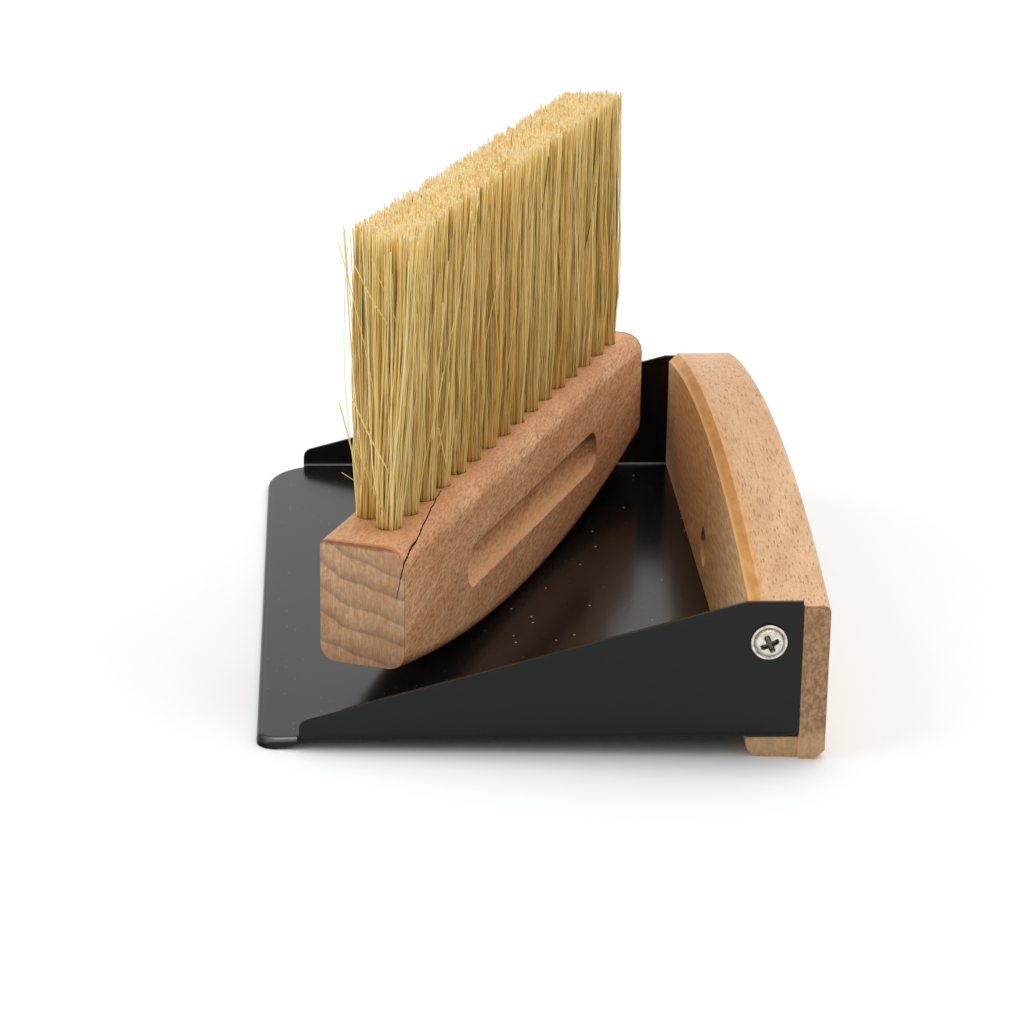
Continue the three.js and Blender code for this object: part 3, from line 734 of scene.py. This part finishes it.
CROSS_WALL_MM = 0.34  # width of the cross recess's sloping walls
CROSS_RUNOUT_MM = 0.8  # length of its sloping ends
CROSS_TURN = math.radians(24)
SCREW_SHARP_ABOVE = math.radians(50)


def cross_depth(x, y):
    """Depth of the cross recess at a point of the head, with sloping, worn walls."""
    depth = 0
    for across, along in ((x, y), (y, x)):
        wall = np.clip((CROSS_HALF_WIDTH_MM - abs(across)) / CROSS_WALL_MM + 0.5, 0, 1)
        end = np.clip((CROSS_HALF_SPAN_MM - abs(along)) / CROSS_RUNOUT_MM + 0.1, 0, 1)
        depth = max(depth, wall * end)
    return CROSS_DEPTH_MM * depth


def screw_mesh(name):
    """A washer-head screw in millimetres, with its head towards +Z and its hollows marked."""
    mesh = bpy.data.meshes.new(name)
    made = bmesh.new()
    hollow = made.verts.layers.float.new("hollow")
    rings = []
    for radius, height in SCREW_PROFILE_MM:
        ring = []
        ringed = SCREW_HOLLOW_MM[0] <= radius <= SCREW_HOLLOW_MM[1]
        for i in range(SCREW_AROUND):
            angle = 2 * math.pi * i / SCREW_AROUND
            x, y = radius * math.cos(angle), radius * math.sin(angle)
            depth = cross_depth(x, y) if height > DOME_FOOT_MM else 0
            vertex = made.verts.new((x, y, height - depth))
            vertex[hollow] = RING_DARKENING if ringed else CROSS_DARKENING * depth / CROSS_DEPTH_MM
            ring.append(vertex)
        rings.append(ring)
    for upper, lower in zip(rings, rings[1:]):
        for i in range(SCREW_AROUND):
            j = (i + 1) % SCREW_AROUND
            made.faces.new((upper[i], lower[i], lower[j], upper[j]))
    made.faces.new(rings[0])
    made.faces.new(rings[-1][::-1])
    made.to_mesh(mesh)
    made.free()
    return mesh


def make_screw(name, node, side):
    """A screw whose head faces out along -Y or +Y of the tray."""
    mesh = screw_mesh(name)
    low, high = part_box(node)
    head = (DOME_FOOT_MM + DOME_RISE_MM) * MM
    place = TRAY @ SCREW_IN_TRAY
    place.y = low.y + head if side < 0 else high.y - head
    outward = Matrix.Rotation(-side * math.radians(90), 3, "X")
    turn = tray_turn @ outward @ Matrix.Rotation(-side * CROSS_TURN, 3, "Z")
    mesh.transform(Matrix.Translation(place) @ turn.to_4x4() @ Matrix.Scale(MM, 4))
    mesh.update()
    mesh.shade_smooth()
    mesh.set_sharp_from_angle(angle=SCREW_SHARP_ABOVE)
    mesh.materials.append(nickel)
    piece = bpy.data.objects.new(name, mesh)
    bpy.context.scene.collection.objects.link(piece)
    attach(piece, "pan")
    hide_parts(node)


make_screw("washer_screw_front", "screw_front", -1)
make_screw("washer_screw_back", "screw_back", 1)


# ---------------------------------------------------------------- tufts of fibre

FIBRES_PER_TUFT = 320
FIBRE_RADII_MM = (0.12, 0.29)
FIBRE_FLATNESS = (0.55, 1.0)  # thickness over width
FIBRE_TAPER = (1.05, 0.85)  # of the radius, at root and tip
FIBRE_STEPS = 9  # rings along a fibre
FIBRE_SIDES = 4
ROOT_DEPTH_MM = 4  # how far the modelled fibres reach into their holes
RING_TOLERANCE_MM = 0.01  # how level the points of a tuft's end are
ALMOST_ZERO = 1e-6
CLUMPS = 12  # bundles within a tuft that lean together
CLUMP_PULL = 0.45
CLUMP_DRIFT_MM = 0.8
TIP_FILL = 0.95  # share of a tuft's reach that its tips take up before they scatter
TIP_SCATTER_MM = 1.2
TIP_UNEVENNESS_MM = 0.6
CROSSING = 0.07  # share of fibres that cross their neighbours, and how far
CROSSING_SCATTER_MM = 4.0
SHORT = 0.04  # share of fibres that end below the rest, and at most how far
SHORT_BY_MM = 9
SPREAD = 1.3  # above 1, a tuft stays narrow low down
BOWS_MM = ((0.5, 0.8), (1.0, 0.45), (1.9, 0.22))  # waves along a fibre, and their reach
BOW_PHASE = 0.8  # how far they start out of step, in radians
BOW_RISE = 6  # they are at their full size from a sixth of the free length
BOW_FADE = 0.6  # and smaller by this share at the tip
TUFT_TONE = (0.56, 0.05)  # mean and spread of the tufts' tones
FIBRE_TONE_SPREAD = 0.21
FAR_END_TRIM_MM = 2.8  # how far the field of tips stays short of the last tufts' forms
FOLD = 1.7  # how far a tip outside the field is drawn back, over how far out it is
FRAYED = ("tuft_front_01", "tuft_back_01")  # tufts at the worn end, and how they differ
FRAYED_SPREAD = 0.8
FRAYED_REACH = (1, 1.2)  # along and across the brush
FRAYED_CROSSING = 2  # times as many
FRAYED_SHORT = 3  # times as many
FRAYED_FOLD_LOW = 0.25  # share of the fold that is left on the field's low sides
FRAYED_FOLD_HIGH = 0.4  # and on its high side across the brush

STRAY_TONE = 0.72
STRAYS_MM = {  # start, end and bow of the fibres that stand out near the worn end
    "tuft_back_01": (
        ((-89.5, 8.6, 50), (-96, 9.3, 130), 2.9),
        ((-91.5, 2.6, 80), (-97, 11.9, 128), -0.6),
        ((-90, 8.2, 58), (-96.5, 12, 83), 0),
        ((-90.2, 7.6, 57.5), (-95.5, 11.6, 62.5), 0),
    ),
    "tuft_front_01": (
        ((-96.3, -1.2, 52), (-102, 5.5, 75), 0.3),
        ((-96.5, -3, 64), (-101.5, 6, 86), 0.5),
        ((-97, -2.6, 106), (-101, 5.6, 123), 0.4),
        ((-97, -5, 107), (-100.5, 1, 125), 0),
    ),
    "tuft_front_04": (
        ((-57, -5, 53), (-73.6, -8.3, 71), 0),
        ((-57, -5, 53), (-58.6, -8.3, 69), 0),
    ),
}
GREEN_TONE = 0
GREEN_MM = {  # the same for dark green fibres on the front face
    "tuft_front_10": (
        ((18.4, -5.4, 102), (20.1, -8.3, 127), -0.4),
    ),
    "tuft_front_14": (
        ((68.7, -5.6, 100), (66.9, -8.3, 129), -0.6),
        ((64.6, -5.4, 84), (68.4, -8.2, 108), -0.4),
    ),
}
LOOSE = {  # number of fibres that leave a tuft's front face at random
    "tuft_front_01": 8,
    "tuft_front_02": 7,
    "tuft_front_03": 5,
    "tuft_front_04": 3,
    "tuft_front_06": 2,
    "tuft_front_08": 2,
    "tuft_front_11": 1,
}
LOOSE_START_MM = (56, 104)  # height of their start
LOOSE_RISE_MM = (18, 46)
LOOSE_TOP_MM = 128
LOOSE_SIDEWAYS_MM = 3  # most that they start off the tuft's middle
LOOSE_LEAN = 0.36  # most that they lean sideways, over their rise
LOOSE_BOW_MM = (-0.5, 0.2)
LOOSE_PROUD_MM = 0.3  # how far their ends stand out of the field
FRONT_FACE_MM = -4.6  # the front tufts' face across the brush, where it leaves the wood
FRONT_SPLAY = -1.8 / 56  # how it moves outwards with the height
rng = np.random.default_rng(20)
to_brush = BRUSH.inverted()


def tuft_of(node):
    """Middle and reach of a tuft at its root and at its tips, in the brush's frame, in mm."""
    points = np.array([to_brush @ v.co for v in nodes[node].data.vertices]) / MM
    top, bottom = points[:, 2].max(), points[:, 2].min()
    ends = []
    for level in (bottom, top):
        ring = points[abs(points[:, 2] - level) < RING_TOLERANCE_MM, :2]
        low, high = ring.min(0), ring.max(0)
        ends.append(((low + high) / 2, (high - low) / 2))
    return ends[0], ends[1], top


tuft_names = sorted(name for name in nodes if name.startswith("tuft_"))
tufts = {name: tuft_of(name) for name in tuft_names}
field_low = np.min([tip - reach for _, (tip, reach), _ in tufts.values()], 0)
field_high = np.max([tip + reach for _, (tip, reach), _ in tufts.values()], 0)
field_high[0] -= FAR_END_TRIM_MM


def fold_back(points, frayed):
    """Tips outside the trimmed field are drawn back into it, less so in a frayed tuft."""
    over = np.maximum(points - field_high, 0)
    under = np.maximum(field_low - points, 0)
    if frayed:
        under = under * FRAYED_FOLD_LOW
        over[:, 1] *= FRAYED_FOLD_HIGH
    return points - FOLD * over + FOLD * under


def root_places(count):
    """Random places in a disc of radius 1, and the same places spread over a square."""
    radius = np.sqrt(rng.random(count))
    angle = rng.random(count) * 2 * math.pi
    disc = np.stack([radius * np.cos(angle), radius * np.sin(angle)], 1)
    longer = np.maximum(abs(disc).max(1), ALMOST_ZERO)
    return disc, disc / longer[:, None] * radius[:, None]


def tip_places(node, disc, square):
    """Where a tuft's fibres end, seen from above: in bundles that lean together, and scattered."""
    count = len(disc)
    tip, reach = tufts[node][1]
    frayed = node in FRAYED
    seeds = rng.choice(count, CLUMPS, replace=False)
    clump = ((disc[:, None] - disc[seeds][None]) ** 2).sum(2).argmin(1)
    ordered = square + CLUMP_PULL * (square[seeds][clump] - square)
    drift = rng.normal(0, CLUMP_DRIFT_MM, (CLUMPS, 2))[clump]
    crossing = rng.random(count) < CROSSING * (FRAYED_CROSSING if frayed else 1)
    scatter = np.where(crossing, CROSSING_SCATTER_MM, TIP_SCATTER_MM)[:, None]
    widened = reach * (FRAYED_REACH if frayed else 1)
    end = tip + TIP_FILL * ordered * widened + drift + rng.normal(0, 1, (count, 2)) * scatter
    return fold_back(end, frayed)


def tip_heights(node, count):
    frayed = node in FRAYED
    height = tufts[node][2] + rng.normal(0, TIP_UNEVENNESS_MM, count)
    short = rng.random(count) < SHORT * (FRAYED_SHORT if frayed else 1)
    return height - np.where(short, rng.random(count) * SHORT_BY_MM, 0)


def bows(free):
    """Random waves along each fibre, sideways, by how far along its free length a point is."""
    count = len(free)
    fade = np.minimum(1, free * BOW_RISE) * (1 - BOW_FADE * free)
    for waves, reach in BOWS_MM:
        size = rng.normal(0, reach, (count, 1, 2))
        phase = rng.random((count, 1)) * BOW_PHASE
        swing = np.sin(2 * math.pi * waves * free + phase)
        yield size * (swing * fade)[..., None]


def fibre_paths(node, count):
    """Centre lines of a tuft's fibres: an array of fibre, step and coordinate, in mm."""
    root, root_reach = tufts[node][0]
    disc, square = root_places(count)
    start = root + disc * root_reach
    end = tip_places(node, disc, square)
    height = tip_heights(node, count)[:, None]

    base = BRUSH_HEIGHT_MM - ROOT_DEPTH_MM
    z = base + np.linspace(0, 1, FIBRE_STEPS)[None] * (height - base)
    free = np.clip((z - BRUSH_HEIGHT_MM) / (height - BRUSH_HEIGHT_MM), 0, 1)
    outward = free ** (FRAYED_SPREAD if node in FRAYED else SPREAD)
    line = start[:, None] + (end - start)[:, None] * outward[..., None]
    for bow in bows(free):
        line = line + bow
    return np.concatenate([line, z[..., None]], 2)


def stray_path(start, end, bow):
    """A loose fibre from point to point in the brush's frame, which bows out across the brush."""
    step = np.linspace(0, 1, FIBRE_STEPS)[:, None]
    line = np.array(start) + step * (np.array(end) - start)
    line[:, 1] += bow * np.sin(math.pi * step[:, 0])
    return line


def loose_path(node):
    """A fibre that leaves a tuft's front face low down and crosses its neighbours."""
    low, rise = rng.uniform(*LOOSE_START_MM), rng.uniform(*LOOSE_RISE_MM)
    face = FRONT_FACE_MM + FRONT_SPLAY * (low - BRUSH_HEIGHT_MM)
    along = tufts[node][1][0][0] + rng.uniform(-LOOSE_SIDEWAYS_MM, LOOSE_SIDEWAYS_MM)
    lean = rise * rng.uniform(-LOOSE_LEAN, LOOSE_LEAN)
    end = along + lean, field_low[1] - LOOSE_PROUD_MM, min(low + rise, LOOSE_TOP_MM)
    return stray_path((along, face, low), end, rng.uniform(*LOOSE_BOW_MM))


def fibre_sections(radii):
    """Corners of each fibre's flattened section, turned at random, in mm."""
    count = len(radii)
    turn = rng.random(count) * math.pi
    flat = rng.uniform(*FIBRE_FLATNESS, count)
    corners = np.arange(FIBRE_SIDES)[None] * 2 * math.pi / FIBRE_SIDES
    wide, thick = np.cos(corners), np.sin(corners) * flat[:, None]
    cos, sin = np.cos(turn)[:, None], np.sin(turn)[:, None]
    turned = np.stack([wide * cos - thick * sin, wide * sin + thick * cos], 2)
    return turned * radii[:, None, None]


def tube_faces(count, steps):
    """Corners of the walls of the tubes, and of the cuts at their ends."""
    i = np.arange(count)[:, None, None] * steps * FIBRE_SIDES
    j = np.arange(steps - 1)[None, :, None] * FIBRE_SIDES
    k = np.arange(FIBRE_SIDES)[None, None]
    a = i + j + k
    b = i + j + (k + 1) % FIBRE_SIDES
    walls = np.stack([a, b, b + FIBRE_SIDES, a + FIBRE_SIDES], 3).reshape(-1, 4)
    first = i[:, 0] + np.arange(FIBRE_SIDES)[None, ::-1]
    last = i[:, 0] + (steps - 1) * FIBRE_SIDES + np.arange(FIBRE_SIDES)[None]
    return walls, np.concatenate([first, last])


def fibre_mesh(name, paths, radii, tones):
    """One mesh of flattened tubes along the paths, each closed by a flat cut."""
    count, steps, _ = paths.shape
    taper = np.linspace(*FIBRE_TAPER, steps)
    points = np.repeat(paths[:, :, None], FIBRE_SIDES, 2)
    points[..., :2] += fibre_sections(radii)[:, None] * taper[None, :, None, None]
    walls, cuts = tube_faces(count, steps)
    faces = np.concatenate([walls, cuts])

    mesh = bpy.data.meshes.new(name)
    mesh.from_pydata(points.reshape(-1, 3).tolist(), [], faces.tolist())
    levels = np.tile(np.repeat(np.linspace(0, 1, steps), FIBRE_SIDES), count)
    for key, values in (("tone", np.repeat(tones, steps * FIBRE_SIDES)), ("along", levels)):
        attribute = mesh.attributes.new(key, "FLOAT", "POINT")
        attribute.data.foreach_set("value", values.astype(np.float32))
    mesh.polygons.foreach_set("use_smooth", np.arange(len(faces)) < len(walls))
    mesh.transform(BRUSH @ Matrix.Scale(MM, 4))
    mesh.update()
    return mesh


def make_tuft(node):
    """A tuft's own fibres, its loose ones, and its dark green ones, as one piece."""
    paths = fibre_paths(node, FIBRES_PER_TUFT)
    loose = [stray_path(*stray) for stray in STRAYS_MM.get(node, ())]
    loose += [loose_path(node) for _ in range(LOOSE.get(node, 0))]
    green = [stray_path(*stray) for stray in GREEN_MM.get(node, ())]
    paths = np.concatenate([paths, *(fibres for fibres in (loose, green) if fibres)])
    count = len(paths)
    radii = rng.uniform(*FIBRE_RADII_MM, count)
    tones = np.clip(rng.normal(rng.normal(*TUFT_TONE), FIBRE_TONE_SPREAD, count), 0, 1)
    tones[FIBRES_PER_TUFT:] = STRAY_TONE
    tones[count - len(green):] = GREEN_TONE
    piece = bpy.data.objects.new(f"fibres_{node}", fibre_mesh(node, paths, radii, tones))
    piece.data.materials.append(fibre)
    bpy.context.scene.collection.objects.link(piece)
    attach(piece, "brush")
    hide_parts(node)


for tuft in tuft_names:
    make_tuft(tuft)


# ---------------------------------------------------------------- studio

CAMERA_FROM_TRAY = Vector((-0.1228, -0.9449, 0.3555))
CAMERA_TURN = (math.radians(70.58), math.radians(-2.41), math.radians(-3.04))
CAMERA_LENS_MM = 117.8
SENSOR_WIDTH_MM = 36
CAMERA_REACH = 50
FLOOR_SIZE = 12
FLOOR_THROWN = (0.8, 0.8, 0.8)  # the floor's colour for the light that it throws back
FLOOR_SEEN = (0.885, 0.91, 0.925)  # and as it is seen, cool against the wood's warm light
DOME_STRENGTH = 0.42  # light of the world on the set
DOME_SEEN = 1
LAMPS = {  # strength, width and turn from straight above, and whether gloss shows it
    "softbox_top": (0.8, 30, (-8, 5), True),
    "softbox_back": (0.8, 70, (-36, 4), False),
    "fill_right": (0.8, 60, (-8, 50), False),
    "fill_left": (1.22, 60, (3, -62), False),
}


def seen_directly(tree):
    """1 for rays that see a surface in the picture, in gloss or through glass, else 0."""
    path = tree.nodes.new("ShaderNodeLightPath")
    total = path.outputs["Is Camera Ray"]
    for name in ("Is Glossy Ray", "Is Transmission Ray"):
        either = tree.nodes.new("ShaderNodeMath")
        either.operation = "MAXIMUM"
        tree.links.new(total, either.inputs[0])
        tree.links.new(path.outputs[name], either.inputs[1])
        total = either.outputs["Value"]
    return total


def make_world():
    """A white dome that is seen as full white, and lights the set more faintly."""
    world = bpy.data.worlds.new("studio")
    world.use_nodes = True
    tree = world.node_tree
    background = tree.nodes["Background"]
    background.inputs["Color"].default_value = (1, 1, 1, 1)
    level = tree.nodes.new("ShaderNodeMix")
    level.inputs["A"].default_value = DOME_STRENGTH
    level.inputs["B"].default_value = DOME_SEEN
    tree.links.new(seen_directly(tree), level.inputs["Factor"])
    tree.links.new(level.outputs["Result"], background.inputs["Strength"])
    bpy.context.scene.world = world


def make_floor_material():
    material = bpy.data.materials.new("white_floor")
    material.use_nodes = True
    tree = material.node_tree
    shader = tree.nodes["Principled BSDF"]
    shader.inputs["Roughness"].default_value = 1
    shader.inputs["Specular IOR Level"].default_value = 0
    tint = tree.nodes.new("ShaderNodeMix")
    tint.data_type = "RGBA"
    tint.inputs[6].default_value = (*FLOOR_THROWN, 1)
    tint.inputs[7].default_value = (*FLOOR_SEEN, 1)
    tree.links.new(seen_directly(tree), tint.inputs[0])
    tree.links.new(tint.outputs[2], shader.inputs["Base Color"])
    return material


def make_floor():
    """A pale floor, a little below full white where it is seen, so that it shows soft shadows."""
    half = FLOOR_SIZE / 2
    corners = [(-half, -half, 0), (half, -half, 0), (half, half, 0), (-half, half, 0)]
    mesh = bpy.data.meshes.new("studio_floor")
    mesh.from_pydata(corners, [], [(0, 1, 2, 3)])
    mesh.materials.append(make_floor_material())
    floor = bpy.data.objects.new("studio_floor", mesh)
    bpy.context.scene.collection.objects.link(floor)
    floor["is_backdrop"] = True


def make_lamp(name, strength, width, turn, in_gloss):
    """A distant lamp, as soft as it is wide; its width and its turn are in degrees."""
    lamp = bpy.data.lights.new(name, "SUN")
    lamp.energy = strength
    lamp.angle = math.radians(width)
    holder = bpy.data.objects.new(name, lamp)
    holder.rotation_euler = [math.radians(angle) for angle in (*turn, 0)]
    holder.visible_glossy = in_gloss
    bpy.context.scene.collection.objects.link(holder)


def make_camera():
    lens = bpy.data.cameras.new("camera")
    lens.lens = CAMERA_LENS_MM
    lens.sensor_width = SENSOR_WIDTH_MM
    lens.clip_end = CAMERA_REACH
    camera = bpy.data.objects.new("camera", lens)
    camera.location = TRAY.translation + CAMERA_FROM_TRAY
    camera.rotation_euler = CAMERA_TURN
    bpy.context.scene.collection.objects.link(camera)
    bpy.context.scene.camera = camera


make_world()
make_floor()
for lamp_name, lamp in LAMPS.items():
    make_lamp(lamp_name, *lamp)
make_camera()
bpy.context.scene.view_settings.view_transform = "Standard"

boxes = {"cad": cad_bounds, "visual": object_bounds()}
{key: [list(corner) for corner in box] for key, box in boxes.items()}
